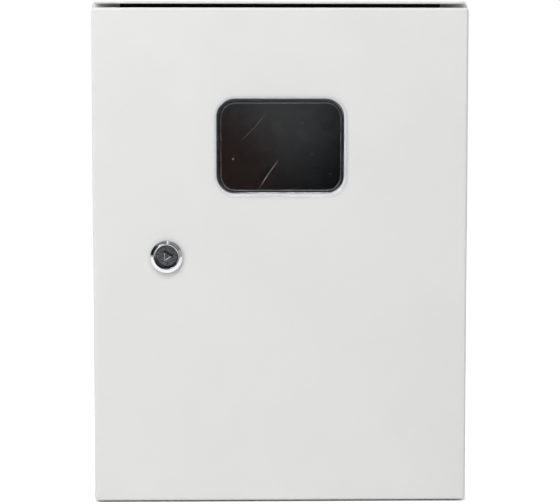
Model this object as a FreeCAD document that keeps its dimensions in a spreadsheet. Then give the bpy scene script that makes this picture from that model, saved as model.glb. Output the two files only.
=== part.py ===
import FreeCAD, Part
import math
import os
import re
import Sketcher

# Driving sizes in mm, degrees for angles. The box is a wall enclosure 400 mm high and 300 mm wide.
SIZES = {
    # Case, folded from sheet steel, with a rain hood over the door
    "case_width": 300.0,
    "case_height": 400.0,
    "case_depth": 150.0,
    "case_sheet": 1.0,
    "case_bend": 3.0,
    "frame_width": 28.0,
    "lip_corner": 8.0,
    "hood_gap": 3.0,
    "hood_overhang": 1.0,
    "hood_hem": 12.0,
    "seal_setback": 4.0,
    "seal_end": 20.0,
    "wall_hole_inset": 25.0,
    "wall_hole_radius": 4.25,
    # Door pan and its foam gasket
    "door_sheet": 1.2,
    "door_bend": 2.4,
    "door_rim": 17.0,
    "rim_gap": 3.0,
    "door_side_gap": 1.0,
    "door_base_gap": 1.2,
    "gasket_width": 10.0,
    "gasket_thick": 8.0,
    "rest_gap": 0.3,
    # Window, one clear moulding snapped into the door
    "window_drop": 109.2,
    "window_width": 101.0,
    "window_height": 75.0,
    "window_radius": 14.5,
    "window_lap": 2.4,
    "window_pane": 2.0,
    "window_bevel": 1.2,
    "window_fit": 0.8,
    "window_rest": 0.1,
    "window_skirt": 9.0,
    "window_skirt_wall": 2.0,
    "lug_spread": 8.0,
    "lug_height": 7.0,
    "lug_catch": 1.6,
    "lug_length": 4.0,
    "tongue_slot": 1.0,
    "tongue_root": 1.0,
    # Cam lock with a triangular spindle
    "lock_inset": 59.5,
    "bezel_radius": 13.25,
    "bezel_rise": 3.4,
    "bezel_edge": 1.6,
    "bezel_rim": 1.0,
    "bezel_shoulder": 0.8,
    "bezel_round": 0.35,
    "lock_ring": 0.8,
    "barrel_radius": 11.0,
    "recess_radius": 9.4,
    "recess_depth": 10.0,
    "disc_thick": 2.0,
    "journal_radius": 5.0,
    "running_gap": 0.06,
    "triangle_side": 8.0,
    "triangle_stop": 2.4,
    "triangle_bevel": 0.6,
    "square_side": 7.0,
    "cam_thick": 2.0,
    "cam_width": 14.0,
    "cam_catch": 10.0,
    "cam_washer_radius": 7.0,
    "cam_washer_thick": 1.2,
    "lock_nut_flats": 27.0,
    "lock_nut_thick": 4.0,
    "lock_washer_radius": 15.0,
    "lock_washer_thick": 1.0,
    # Two concealed hinges on the right
    "hinge_inset": 60.0,
    "hinge_setback": 10.0,
    "hinge_length": 14.0,
    "hinge_base_height": 34.0,
    "knuckle_radius": 3.5,
    "pin_radius": 2.0,
    "pin_head_radius": 3.2,
    "pin_head_rise": 1.5,
    "leaf_thick": 3.0,
    "swing_gap": 1.1,
    "foot_reach": 7.3,
    "foot_screw_inset": 4.0,
    "foot_screw_spread": 12.0,
    "ear_thick": 2.0,
    "bracket_gap": 1.5,
    # Mounting plate on welded studs, with holes for a meter
    "plate_margin": 40.0,
    "plate_sheet": 2.0,
    "plate_corner": 8.0,
    "stud_inset": 15.0,
    "collar_radius": 7.0,
    "collar_rise": 12.0,
    "plate_stud_length": 26.0,
    "meter_inset": 20.0,
    "meter_span": 150.0,
    "meter_spread": 105.0,
    "meter_hole_radius": 2.75,
    # Top hat rail
    "rail_inset": 10.0,
    "rail_lift": 90.0,
    "rail_width": 35.0,
    "rail_channel": 27.0,
    "rail_rise": 7.5,
    "rail_sheet": 1.0,
    "rail_slot_pitch": 25.0,
    "rail_slot_length": 15.0,
    "rail_slot_width": 6.2,
    # Neutral and earth bars
    "bar_middle_gap": 20.0,
    "bar_inset": 20.0,
    "bar_lift": 35.0,
    "bar_section": 10.0,
    "bar_end": 6.0,
    "bar_foot_rise": 18.0,
    "bar_foot_width": 12.0,
    "terminal_pitch": 10.0,
    "terminal_land": 9.0,
    "wire_hole_radius": 2.4,
    # Gland plate with rubber grommets
    "gland_place": 62.0,
    "gland_margin": 12.0,
    "gland_sheet": 1.5,
    "gland_seal": 1.0,
    "gland_rise": 5.0,
    "gland_wall_gap": 3.0,
    "grommet_space": 11.0,
    "grommet_clear": 8.5,
    "grommet_hole_radius": 14.0,
    "grommet_lap": 3.0,
    "grommet_lip": 2.5,
    "grommet_skin": 1.2,
    # Threads, washers and their fits
    "m4_radius": 2.0,
    "m5_radius": 2.5,
    "m6_radius": 3.0,
    "m8_radius": 4.0,
    "thread_fit": 0.1,
    "hole_fit": 0.3,
    "small_washer_thick": 1.0,
    "plate_washer_thick": 1.6,
    "earth_stud_length": 18.0,
    "earth_inset": 30.0,
    "earth_lift": 55.0,
    "door_earth_inset": 55.0,
    "door_earth_lift": 50.0,
}

# Places that follow from the sizes: depth counts forward from the wall, height from the case's middle.
PLACES = {
    "side": "case_width / 2",
    "top": "case_height / 2",
    "case_corner": "case_bend * 1.2",
    "frame_plane": "case_depth - door_rim - rim_gap",
    "mouth_side": "side - frame_width",
    "mouth_top": "top - frame_width",
    "gasket_back": "case_depth - door_sheet - gasket_thick",
    "lip_front": "gasket_back - rest_gap",
    "hood_side": "side - case_corner",
    "hood_front": "case_depth + hood_overhang",
    "hem_low": "top - 2 * case_sheet",
    "door_side": "side - door_side_gap",
    "door_top": "hem_low - hood_gap",
    "door_low": "door_base_gap - top",
    "door_inner": "case_depth - door_sheet",
    "door_corner": "door_bend * 1.25",
    "gasket_outer": "mouth_side + gasket_width / 2",
    "gasket_outer_top": "mouth_top + gasket_width / 2",
    "window_up": "door_top - window_drop",
    "window_half": "window_width / 2",
    "window_half_up": "window_height / 2",
    "window_sag": "(window_fit - window_rest) / sqrt(2)",
    "lock_side": "side - lock_inset",
    "lock_up": "(door_top + door_low) / 2",
    "housing_back": "door_rim + rim_gap + case_sheet",
    "cam_front": "housing_back + rest_gap",
    "pivot_side": "door_side - door_sheet - rest_gap - knuckle_radius",
    "rim_swing": "sqrt((door_side - pivot_side) ^ 2 + (door_rim - hinge_setback) ^ 2)",
    "hinge_up": "top - hinge_inset",
    "leg_near": "rim_swing + swing_gap",
    "foot_front": "door_rim + rim_gap - hinge_setback - leaf_thick",
    "foot_far": "leg_near + leaf_thick + foot_reach",
    "foot_screw": "foot_far - foot_screw_inset",
    "ear_low": "hinge_length / 2 + rest_gap",
    "ear_high": "ear_low + ear_thick",
    "bracket_far": "pivot_side - gasket_outer - bracket_gap",
    "bracket_back": "hinge_setback - door_sheet - ear_thick",
    "plate_back": "case_sheet + collar_rise",
    "plate_front": "plate_back + plate_sheet",
    "plate_side": "side - plate_margin",
    "plate_top": "top - plate_margin",
    "plate_stud_side": "plate_side - stud_inset",
    "plate_stud_up": "plate_top - stud_inset",
    "meter_up": "plate_top - meter_inset",
    "rail_side": "plate_side - rail_inset",
    "rail_up": "rail_lift - plate_top",
    "bar_back": "plate_front + bar_foot_rise",
    "bar_front": "bar_back + bar_section",
    "bar_up": "bar_lift - plate_top",
    "bar_half": "(plate_side - bar_inset - bar_middle_gap / 2) / 2",
    "bar_place": "bar_middle_gap / 2 + bar_half",
    "bar_hold": "bar_half - bar_end",
    "floor": "case_sheet - top",
    "grommet_edge": "grommet_hole_radius + grommet_lap",
    "grommet_pitch": "2 * grommet_edge + grommet_space",
    "tray_half_deep": "grommet_edge + grommet_clear + gland_sheet",
    "tray_half_wide": "grommet_pitch + tray_half_deep",
    "gland_open_width": "2 * (tray_half_wide + gland_wall_gap)",
    "gland_open_depth": "2 * (tray_half_deep + gland_wall_gap)",
    "gland_low": "floor + gland_seal",
    "gland_half_width": "gland_open_width / 2 + gland_margin",
    "gland_half_depth": "gland_open_depth / 2 + gland_margin",
    "gland_stud_side": "gland_open_width / 2 + gland_margin / 2",
    "gland_stud_deep": "gland_open_depth / 2 + gland_margin / 2",
}

# Proportions of fasteners over the radius of their thread
NUT_FLATS = 3.3
NUT_HEIGHT = 1.6
BOLT_HEAD_HEIGHT = 1.4
PAN_HEAD_RADIUS = 1.75
PAN_HEAD_HEIGHT = 1.2
PAN_HEAD_BEVEL = 0.4
STUD_END = 2.5

FRONT = "XZ_Plane"
TOP = "XY_Plane"
SIDE = "YZ_Plane"
SIDES = ("-", "+")

doc = FreeCAD.newDocument("MeterBox")
sheet = doc.addObject("Spreadsheet::Sheet", "Sizes")
for row, (name, size) in enumerate(SIZES.items(), start=1):
    sheet.set(f"A{row}", name)
    sheet.set(f"B{row}", str(size))
    sheet.setAlias(f"B{row}", name)
doc.recompute()
parts = []


def bound(text):
    """Write an expression out in cells of the sheet."""
    def cell(match):
        word = match.group(0)
        if word in PLACES:
            return f"({bound(PLACES[word])})"
        return f"Sizes.{word}" if word in SIZES else word
    return re.sub(r"[a-z][a-z_0-9]+", cell, text)


def value(text):
    """Work out an expression as a plain number."""
    return float(sheet.evalExpression(bound(text)))


def new_part(label, across="0", depth="0", up="0", axis_front=False):
    """Start a sub-part at its place; its own Z axis may point to the front."""
    body = doc.addObject("PartDesign::Body", label)
    body.Label = label
    if axis_front:
        body.Placement = FreeCAD.Placement(FreeCAD.Vector(), FreeCAD.Rotation(FreeCAD.Vector(1, 0, 0), 90))
    body.setExpression("Placement.Base.x", bound(across))
    body.setExpression("Placement.Base.y", bound(f"-({depth})"))
    body.setExpression("Placement.Base.z", bound(up))
    parts.append(body)
    return body


def new_sketch(body, role, offset="0"):
    """Sketch on an origin plane, moved along the plane's normal."""
    sketch = body.newObject("Sketcher::SketchObject", "Sketch")
    base = [item for item in body.Origin.OriginFeatures if item.Role == role][0]
    sketch.AttachmentSupport = (base, [""])
    sketch.MapMode = "FlatFace"
    sketch.setExpression("AttachmentOffset.Base.z", bound(offset))
    return sketch


def tie(sketch, kind, *where_and_size):
    """Add one dimension to a sketch and bind it to the sheet."""
    *where, size = where_and_size
    index = sketch.addConstraint(Sketcher.Constraint(kind, *where, value(size)))
    sketch.setExpression(f"Constraints[{index}]", bound(size))


def polygon(sketch, corners):
    """Closed outline of straight lines."""
    first = sketch.GeometryCount
    count = len(corners)
    points = [FreeCAD.Vector(value(across), value(up), 0) for across, up in corners]
    for index in range(count):
        sketch.addGeometry(Part.LineSegment(points[index], points[(index + 1) % count]), False)
    for index, (across, up) in enumerate(corners):
        line = first + index
        following = first + (index + 1) % count
        sketch.addConstraint(Sketcher.Constraint("Coincident", line, 2, following, 1))
        tie(sketch, "DistanceX", -1, 1, line, 1, across)
        tie(sketch, "DistanceY", -1, 1, line, 1, up)


def rectangle(sketch, left, right, low, high):
    """Upright rectangle between four limits."""
    polygon(sketch, [(left, low), (right, low), (right, high), (left, high)])


def rounded(sketch, left, right, low, high, radius):
    """Rectangle with round corners."""
    first = sketch.GeometryCount
    centres = [
        (f"{right} - ({radius})", f"{low} + {radius}", 270),
        (f"{right} - ({radius})", f"{high} - ({radius})", 0),
        (f"{left} + {radius}", f"{high} - ({radius})", 90),
        (f"{left} + {radius}", f"{low} + {radius}", 180),
    ]
    for across, up, turn in centres:
        middle = FreeCAD.Vector(value(across), value(up), 0)
        circle = Part.Circle(middle, FreeCAD.Vector(0, 0, 1), value(radius))
        arc = Part.ArcOfCircle(circle, math.radians(turn), math.radians(turn + 90))
        sketch.addGeometry(arc, False)
    for index in range(4):
        start = sketch.Geometry[first + index].EndPoint
        end = sketch.Geometry[first + (index + 1) % 4].StartPoint
        sketch.addGeometry(Part.LineSegment(start, end), False)
    for index in range(4):
        arc = first + index
        line = first + 4 + index
        following = first + (index + 1) % 4
        sketch.addConstraint(Sketcher.Constraint("Tangent", arc, 2, line, 1))
        sketch.addConstraint(Sketcher.Constraint("Tangent", line, 2, following, 1))
    tie(sketch, "Radius", first, radius)
    for index in range(1, 4):
        sketch.addConstraint(Sketcher.Constraint("Equal", first, first + index))
    for index, (across, up, turn) in enumerate(centres):
        tie(sketch, "DistanceX", -1, 1, first + index, 3, across)
        tie(sketch, "DistanceY", -1, 1, first + index, 3, up)


def circle(sketch, across, up, radius):
    """Full circle."""
    middle = FreeCAD.Vector(value(across), value(up), 0)
    index = sketch.addGeometry(Part.Circle(middle, FreeCAD.Vector(0, 0, 1), value(radius)), False)
    tie(sketch, "DistanceX", -1, 1, index, 3, across)
    tie(sketch, "DistanceY", -1, 1, index, 3, up)
    tie(sketch, "Radius", index, radius)


def hexagon(sketch, across, up, flats):
    """Nut outline, given over its flats."""
    corners = []
    for turn in range(0, 360, 60):
        reach = f"({flats}) / sqrt(3)"
        corners.append((f"{across} + {reach} * cos({turn} deg)", f"{up} + {reach} * sin({turn} deg)"))
    polygon(sketch, corners)


def pad(body, sketch, length, back=False):
    """Raise a sketch along its normal, or against it."""
    feature = body.newObject("PartDesign::Pad", "Pad")
    feature.Profile = sketch
    feature.Reversed = back
    feature.setExpression("Length", bound(length))
    return feature


def pocket(body, sketch, length, forward=False):
    """Cut against the sketch's normal, or along it."""
    doc.recompute()
    before = body.Shape.Volume
    feature = body.newObject("PartDesign::Pocket", "Pocket")
    feature.Profile = sketch
    feature.Reversed = forward
    feature.setExpression("Length", bound(length))
    doc.recompute()
    if body.Shape.Volume >= before - 0.01:
        raise RuntimeError(f"{body.Label}: a pocket cuts nothing")


def revolve(body, corners):
    """Turn an outline of radii and heights about the sub-part's own Z axis."""
    sketch = new_sketch(body, FRONT)
    polygon(sketch, corners)
    feature = body.newObject("PartDesign::Revolution", "Revolution")
    feature.Profile = sketch
    feature.ReferenceAxis = (sketch, ["V_Axis"])
    feature.Angle = 360


def edges_at(body, places):
    """Last feature of a sub-part, with its edges that lie flat at places along given axes."""
    doc.recompute()
    levels = {axis: value(place) for axis, place in places.items()}
    names = []
    for index, edge in enumerate(body.Tip.Shape.Edges, start=1):
        box = edge.BoundBox
        ends = [(axis + end, level) for axis, level in levels.items() for end in ("Min", "Max")]
        if max(abs(getattr(box, end) - level) for end, level in ends) < 0.001:
            names.append(f"Edge{index}")
    return body.Tip, names


def fillet(body, radius, **places):
    """Round the edges at one place."""
    base = edges_at(body, places)
    feature = body.newObject("PartDesign::Fillet", "Fillet")
    feature.Base = base
    feature.setExpression("Radius", bound(radius))


def bevel(body, size, **places):
    """Chamfer the edges at one place."""
    base = edges_at(body, places)
    feature = body.newObject("PartDesign::Chamfer", "Chamfer")
    feature.Base = base
    feature.setExpression("Size", bound(size))


def pillars(body, depth, length, spots, radius):
    """Round bars along the depth, from one depth forward."""
    sketch = new_sketch(body, FRONT, depth)
    for across, up in spots:
        circle(sketch, across, up, radius)
    pad(body, sketch, length)


def holes(body, depth, length, spots, radius):
    """Round holes along the depth, from one depth back."""
    sketch = new_sketch(body, FRONT, depth)
    for across, up in spots:
        circle(sketch, across, up, radius)
    pocket(body, sketch, length)


def four(across, up):
    """Four spots about the middle."""
    return [(f"{one}({across})", f"{other}({up})") for one in SIDES for other in SIDES]


def nuts(label, depth, thread, spots):
    """Hexagon nuts with their back at one depth."""
    body = new_part(label)
    sketch = new_sketch(body, FRONT, depth)
    for across, up in spots:
        hexagon(sketch, across, up, f"{NUT_FLATS} * {thread}")
        circle(sketch, across, up, f"{thread} + thread_fit")
    pad(body, sketch, f"{NUT_HEIGHT} * {thread}")


def washers(label, depth, thread, thick, spots):
    """Flat washers with their back at one depth."""
    body = new_part(label)
    sketch = new_sketch(body, FRONT, depth)
    for across, up in spots:
        circle(sketch, across, up, f"2 * {thread}")
        circle(sketch, across, up, f"{thread} + thread_fit")
    pad(body, sketch, thick)


def pan_screws(label, depth, thread, length, spots):
    """Pan head screws with the head's seat at one depth."""
    body = new_part(label)
    rise = f"{PAN_HEAD_HEIGHT} * {thread}"
    pillars(body, depth, rise, spots, f"{PAN_HEAD_RADIUS} * {thread}")
    bevel(body, f"{PAN_HEAD_BEVEL} * {thread}", Y=f"-({depth} + {rise})")
    shanks = new_sketch(body, FRONT, depth)
    for across, up in spots:
        circle(shanks, across, up, thread)
    pad(body, shanks, length, back=True)


def case_shell():
    """Folded case: walls, back, door frame with a sealing lip, and the hood."""
    body = new_part("body_shell")
    outline = new_sketch(body, FRONT)
    rounded(outline, "-side", "side", "-top", "top", "case_corner")
    pad(body, outline, "frame_plane")
    fillet(body, "case_bend", Y="0")
    room = new_sketch(body, FRONT, "frame_plane - case_sheet")
    inset = ("case_sheet - side", "side - case_sheet", "case_sheet - top", "top - case_sheet")
    rounded(room, *inset, "case_corner - case_sheet")
    pocket(body, room, "frame_plane - 2 * case_sheet")
    fillet(body, "case_bend - case_sheet", Y="-case_sheet")
    mouth = (
        "case_sheet - mouth_side",
        "mouth_side - case_sheet",
        "case_sheet - mouth_top",
        "mouth_top - case_sheet",
    )
    opening = new_sketch(body, FRONT, "frame_plane")
    rounded(opening, *mouth, "(lip_corner - case_sheet)")
    pocket(body, opening, "case_sheet")
    lip = new_sketch(body, FRONT, "frame_plane")
    rounded(lip, "-mouth_side", "mouth_side", "-mouth_top", "mouth_top", "lip_corner")
    rounded(lip, *mouth, "(lip_corner - case_sheet)")
    pad(body, lip, "lip_front - frame_plane")
    hood = new_sketch(body, FRONT, "frame_plane")
    rectangle(hood, "-hood_side", "hood_side", "top - case_sheet", "top")
    pad(body, hood, "hood_front - frame_plane")
    hem = new_sketch(body, FRONT, "hood_front - hood_hem")
    rectangle(hem, "-hood_side", "hood_side", "hem_low", "top - case_sheet")
    pad(body, hem, "hood_hem")
    for fold in ("top", "hem_low"):
        fillet(body, "0.9 * case_sheet", Y="-hood_front", Z=fold)
    case_holes(body)


def hood_seal():
    """Sponge strip under the hood's hem, a little back from its edge, over the top of the door."""
    body = new_part("hood_seal")
    strip = new_sketch(body, FRONT, "hood_front - hood_hem")
    reach = "hood_side - seal_end"
    rectangle(strip, f"-({reach})", reach, "door_top + rest_gap", "hem_low")
    pad(body, strip, "hood_hem - seal_setback")


def case_holes(body):
    """Holes of the case: wall, hinge screws and the opening under the gland plate."""
    wall_spots = four("side - wall_hole_inset", "top - wall_hole_inset")
    holes(body, "case_sheet", "case_sheet", wall_spots, "wall_hole_radius")
    holes(body, "frame_plane", "case_sheet", hinge_screw_spots(), "m4_radius + hole_fit")
    gland = new_sketch(body, TOP, "floor")
    rectangle(gland, "-gland_open_width / 2", "gland_open_width / 2",
              "-gland_place - gland_open_depth / 2", "gland_open_depth / 2 - gland_place")
    pocket(body, gland, "case_sheet")


def hinge_screw_spots():
    """Screws of both hinge leaves on the frame."""
    return [("pivot_side - foot_screw", f"{end}hinge_up {turn} foot_screw_spread")
            for end in SIDES for turn in SIDES]


def door_panel():
    """Door pan with the window cut-out and the lock hole."""
    body = new_part("door_panel")
    outline = new_sketch(body, FRONT, "case_depth - door_rim")
    rounded(outline, "-door_side", "door_side", "door_low", "door_top", "door_corner")
    pad(body, outline, "door_rim")
    fillet(body, "door_bend", Y="-case_depth")
    hollow = new_sketch(body, FRONT, "door_inner")
    rounded(hollow, "door_sheet - door_side", "door_side - door_sheet", "door_low + door_sheet",
            "door_top - door_sheet", "door_corner - door_sheet")
    pocket(body, hollow, "door_rim - door_sheet")
    fillet(body, "door_bend - door_sheet", Y="-door_inner")
    window = new_sketch(body, FRONT, "case_depth")
    rounded(window, "-window_half", "window_half", "window_up - window_half_up", "window_up + window_half_up",
            "window_radius")
    pocket(body, window, "door_sheet")
    holes(body, "case_depth", "door_sheet", [("-lock_side", "lock_up")], "barrel_radius + hole_fit")


def door_gasket():
    """Foam ring on the door, pressed by the lip of the case."""
    body = new_part("door_gasket")
    ring = new_sketch(body, FRONT, "gasket_back")
    inner = "gasket_outer - gasket_width"
    inner_top = "gasket_outer_top - gasket_width"
    rounded(ring, "-gasket_outer", "gasket_outer", "-gasket_outer_top", "gasket_outer_top",
            "(lip_corner + gasket_width / 2)")
    rounded(ring, f"-({inner})", inner, f"-({inner_top})", inner_top, "(lip_corner - gasket_width / 2)")
    pad(body, ring, "gasket_thick")


def window_pane():
    """Clear moulding: flanged pane, skirt through the door and four tongues with snap lugs.

    It has sunk into the lower right corner of its cut-out.
    """
    body = new_part("window_pane", "window_sag", up="window_up - window_sag")
    flange = new_sketch(body, FRONT, "case_depth")
    edge = "window_half + window_lap"
    edge_up = "window_half_up + window_lap"
    rounded(flange, f"-({edge})", edge, f"-({edge_up})", edge_up, "(window_radius + window_lap)")
    pad(body, flange, "window_pane")
    fillet(body, "window_bevel", Y="-(case_depth + window_pane)")
    skirt = new_sketch(body, FRONT, "case_depth")
    for gap in ("window_fit", "window_fit + window_skirt_wall"):
        wide = f"window_half - ({gap})"
        tall = f"window_half_up - ({gap})"
        rounded(skirt, f"-({wide})", wide, f"-({tall})", tall, f"(window_radius - ({gap}))")
    pad(body, skirt, "window_skirt", back=True)
    for middle in ("-lug_spread", "lug_spread"):
        for low in ("- lug_height / 2 - tongue_slot", "+ lug_height / 2"):
            slots = new_sketch(body, TOP, f"{middle} {low}")
            for sign in SIDES:
                inside = f"{sign}(window_half - window_fit - 2 * window_skirt_wall)"
                outside = f"{sign}window_half"
                rectangle(slots, inside, outside, "tongue_root - case_depth", "window_skirt - case_depth")
            pocket(body, slots, "tongue_slot", forward=True)
        lugs = new_sketch(body, TOP, f"{middle} - lug_height / 2")
        for sign in SIDES:
            root = f"{sign}(window_half - window_fit - window_skirt_wall / 2)"
            foot = f"{sign}(window_half - window_fit)"
            catch = f"{sign}(window_half + lug_catch)"
            face = "rest_gap - door_inner"
            end = "rest_gap + lug_length - door_inner"
            polygon(lugs, [(root, face), (catch, face), (foot, end), (root, end)])
        pad(body, lugs, "lug_height")


def lock_part(label):
    """Start a piece of the lock: its Z axis points out of the door, from the door's face."""
    return new_part(label, "-lock_side", "case_depth", "lock_up", axis_front=True)


def lock_ring_on(label, low, thick, outer, inner):
    """Flat ring around the lock."""
    body = lock_part(label)
    ring = new_sketch(body, TOP, low)
    circle(ring, "0", "0", outer)
    circle(ring, "0", "0", inner)
    pad(body, ring, thick)


def lock_housing():
    """Housing with a conical bezel, a round recess and a bearing for the spindle."""
    body = lock_part("lock_housing")
    front = "lock_ring + bezel_rise"
    shoulder = "lock_ring + bezel_edge"
    bearing = "journal_radius + running_gap"
    revolve(body, [
        (bearing, "-housing_back"),
        ("barrel_radius", "-housing_back"),
        ("barrel_radius", "lock_ring"),
        ("bezel_radius", "lock_ring"),
        ("bezel_radius", shoulder),
        ("recess_radius + bezel_rim", front),
        ("recess_radius", front),
        ("recess_radius", "-recess_depth"),
        (bearing, "-recess_depth"),
    ])
    fillet(body, "bezel_round", Z=front)
    fillet(body, "bezel_shoulder", Z=shoulder)


def lock_fixings():
    """Rubber ring under the bezel, washer and nut behind the door."""
    lock_ring_on("lock_ring", "0", "lock_ring", "bezel_radius - 1", "barrel_radius + thread_fit")
    lock_ring_on("lock_washer", "-door_sheet - lock_washer_thick", "lock_washer_thick",
                 "lock_washer_radius", "barrel_radius + thread_fit")
    body = lock_part("lock_nut")
    nut = new_sketch(body, TOP, "-door_sheet - lock_washer_thick - lock_nut_thick")
    hexagon(nut, "0", "0", "lock_nut_flats")
    circle(nut, "0", "0", "barrel_radius + thread_fit")
    pad(body, nut, "lock_nut_thick")


def lock_spindle():
    """Spindle: triangular head on a disc, journal, square for the cam and a tapped end."""
    body = lock_part("lock_spindle")
    disc_low = "rest_gap - recess_depth"
    disc = new_sketch(body, TOP, disc_low)
    circle(disc, "0", "0", "recess_radius - rest_gap")
    pad(body, disc, "disc_thick")
    head = new_sketch(body, TOP, f"{disc_low} + disc_thick")
    reach = "triangle_side / sqrt(3)"
    corners = [(f"{reach} * cos({turn} deg)", f"{reach} * sin({turn} deg)") for turn in (0, 120, 240)]
    polygon(head, corners)
    front = "lock_ring + bezel_rise - triangle_stop"
    pad(body, head, f"{front} - ({disc_low} + disc_thick)")
    bevel(body, "triangle_bevel", Z=front)
    journal = new_sketch(body, TOP, disc_low)
    circle(journal, "0", "0", "journal_radius")
    pad(body, journal, f"cam_front + {disc_low}", back=True)
    square = new_sketch(body, TOP, "-cam_front")
    half = "square_side / 2"
    rectangle(square, f"-{half}", half, f"-{half}", half)
    pad(body, square, "cam_thick - thread_fit", back=True)
    thread = new_sketch(body, TOP, "-cam_front - cam_thick")
    circle(thread, "0", "0", "m5_radius + thread_fit")
    pocket(body, thread, "cam_thick + 4 * m5_radius", forward=True)


def lock_cam():
    """Cam on the spindle's square, at rest pointing down."""
    body = lock_part("lock_cam")
    cam = new_sketch(body, TOP, "-cam_front - cam_thick")
    half = "cam_width / 2"
    reach = "mouth_side - lock_side + cam_catch"
    rounded(cam, f"-({half})", half, f"-({reach})", half, "cam_width / 4")
    hole = "square_side / 2 + thread_fit"
    rectangle(cam, f"-({hole})", hole, f"-({hole})", hole)
    pad(body, cam, "cam_thick")


def cam_fixings():
    """Washer and hexagon screw that hold the cam."""
    lock_ring_on("cam_washer", "-cam_front - cam_thick - cam_washer_thick", "cam_washer_thick",
                 "cam_washer_radius", "m5_radius + thread_fit")
    body = lock_part("cam_screw")
    seat = "-cam_front - cam_thick - cam_washer_thick"
    head = new_sketch(body, TOP, seat)
    hexagon(head, "0", "0", f"{NUT_FLATS} * m5_radius")
    pad(body, head, f"{BOLT_HEAD_HEIGHT} * m5_radius", back=True)
    shank = new_sketch(body, TOP, seat)
    circle(shank, "0", "0", "m5_radius")
    pad(body, shank, "cam_washer_thick + cam_thick + 3 * m5_radius")


def hinge_leaf(label, up):
    """Goose-neck leaf screwed to the frame, with its knuckle around the pin."""
    body = new_part(label, "pivot_side", "case_depth - hinge_setback", up)
    foot = new_sketch(body, TOP, "-hinge_base_height / 2")
    rectangle(foot, "-foot_far", "-leg_near", "foot_front", "foot_front + leaf_thick")
    pad(body, foot, "hinge_base_height")
    neck = new_sketch(body, TOP, "-hinge_length / 2")
    polygon(neck, [
        ("-leg_near - leaf_thick", "foot_front + leaf_thick / 2"),
        ("-leg_near - leaf_thick", "-knuckle_radius"),
        ("0", "-knuckle_radius"),
        ("0", "leaf_thick - knuckle_radius"),
        ("-leg_near", "leaf_thick - knuckle_radius"),
        ("-leg_near", "foot_front + leaf_thick / 2"),
    ])
    pad(body, neck, "hinge_length")
    fillet(body, "1.5 * leaf_thick", X="-leg_near - leaf_thick", Y="-knuckle_radius")
    fillet(body, "leaf_thick / 2", X="-leg_near", Y="leaf_thick - knuckle_radius")
    knuckle = new_sketch(body, TOP, "-hinge_length / 2")
    circle(knuckle, "0", "0", "knuckle_radius")
    pad(body, knuckle, "hinge_length")
    bore = new_sketch(body, TOP, "hinge_length / 2")
    circle(bore, "0", "0", "pin_radius + running_gap")
    pocket(body, bore, "hinge_length")
    spots = [("-foot_screw", "foot_screw_spread"), ("-foot_screw", "-foot_screw_spread")]
    holes(body, "-foot_front", "leaf_thick", spots, "m4_radius + hole_fit")


def hinge_bracket(label, up):
    """Bracket welded to the door, with an ear above and below the leaf's knuckle."""
    body = new_part(label, "pivot_side", "case_depth - hinge_setback", up)
    base = new_sketch(body, TOP, "-hinge_base_height / 2")
    base_near = "knuckle_radius - (door_bend - door_sheet)"
    rectangle(base, "-bracket_far", base_near, "-bracket_back - ear_thick", "-bracket_back")
    pad(body, base, "hinge_base_height")
    for low in ("ear_low", "-ear_high"):
        ear = new_sketch(body, TOP, low)
        rectangle(ear, "-knuckle_radius", "knuckle_radius", "-bracket_back - ear_thick / 2", "0")
        pad(body, ear, "ear_thick")
        tip = new_sketch(body, TOP, low)
        circle(tip, "0", "0", "knuckle_radius")
        pad(body, tip, "ear_thick")
    bore = new_sketch(body, TOP, "ear_high")
    circle(bore, "0", "0", "pin_radius + thread_fit")
    pocket(body, bore, "2 * ear_high")


def hinge_pin(label, up):
    """Headed pin, riveted over below the lower ear."""
    body = new_part(label, "pivot_side", "case_depth - hinge_setback", up)
    rivet = "(pin_radius + pin_head_radius) / 2"
    revolve(body, [
        ("0", "-ear_high - pin_head_rise"),
        ("pin_radius", "-ear_high - pin_head_rise"),
        (rivet, "-ear_high - pin_head_rise / 2"),
        (rivet, "-ear_high"),
        ("pin_radius", "-ear_high"),
        ("pin_radius", "ear_high"),
        ("pin_head_radius", "ear_high"),
        ("pin_head_radius", "ear_high + pin_head_rise / 2"),
        ("pin_radius", "ear_high + pin_head_rise"),
        ("0", "ear_high + pin_head_rise"),
    ])


def hinges():
    """Both hinges and the screws and nuts of their leaves."""
    for word, up in (("lower", "-hinge_up"), ("upper", "hinge_up")):
        hinge_leaf(f"hinge_leaf_{word}", up)
        hinge_bracket(f"hinge_bracket_{word}", up)
        hinge_pin(f"hinge_pin_{word}", up)
    head_seat = "frame_plane + leaf_thick"
    length = f"leaf_thick + case_sheet + {STUD_END} * m4_radius"
    pan_screws("hinge_screws", head_seat, "m4_radius", length, hinge_screw_spots())
    nut_back = f"frame_plane - case_sheet - {NUT_HEIGHT} * m4_radius"
    nuts("hinge_nuts", nut_back, "m4_radius", hinge_screw_spots())


def plate_studs():
    """Studs welded to the back, with a collar that carries the plate."""
    body = new_part("plate_studs")
    spots = four("plate_stud_side", "plate_stud_up")
    pillars(body, "case_sheet", "collar_rise", spots, "collar_radius")
    pillars(body, "plate_back", "plate_stud_length - collar_rise", spots, "m8_radius")


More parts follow.
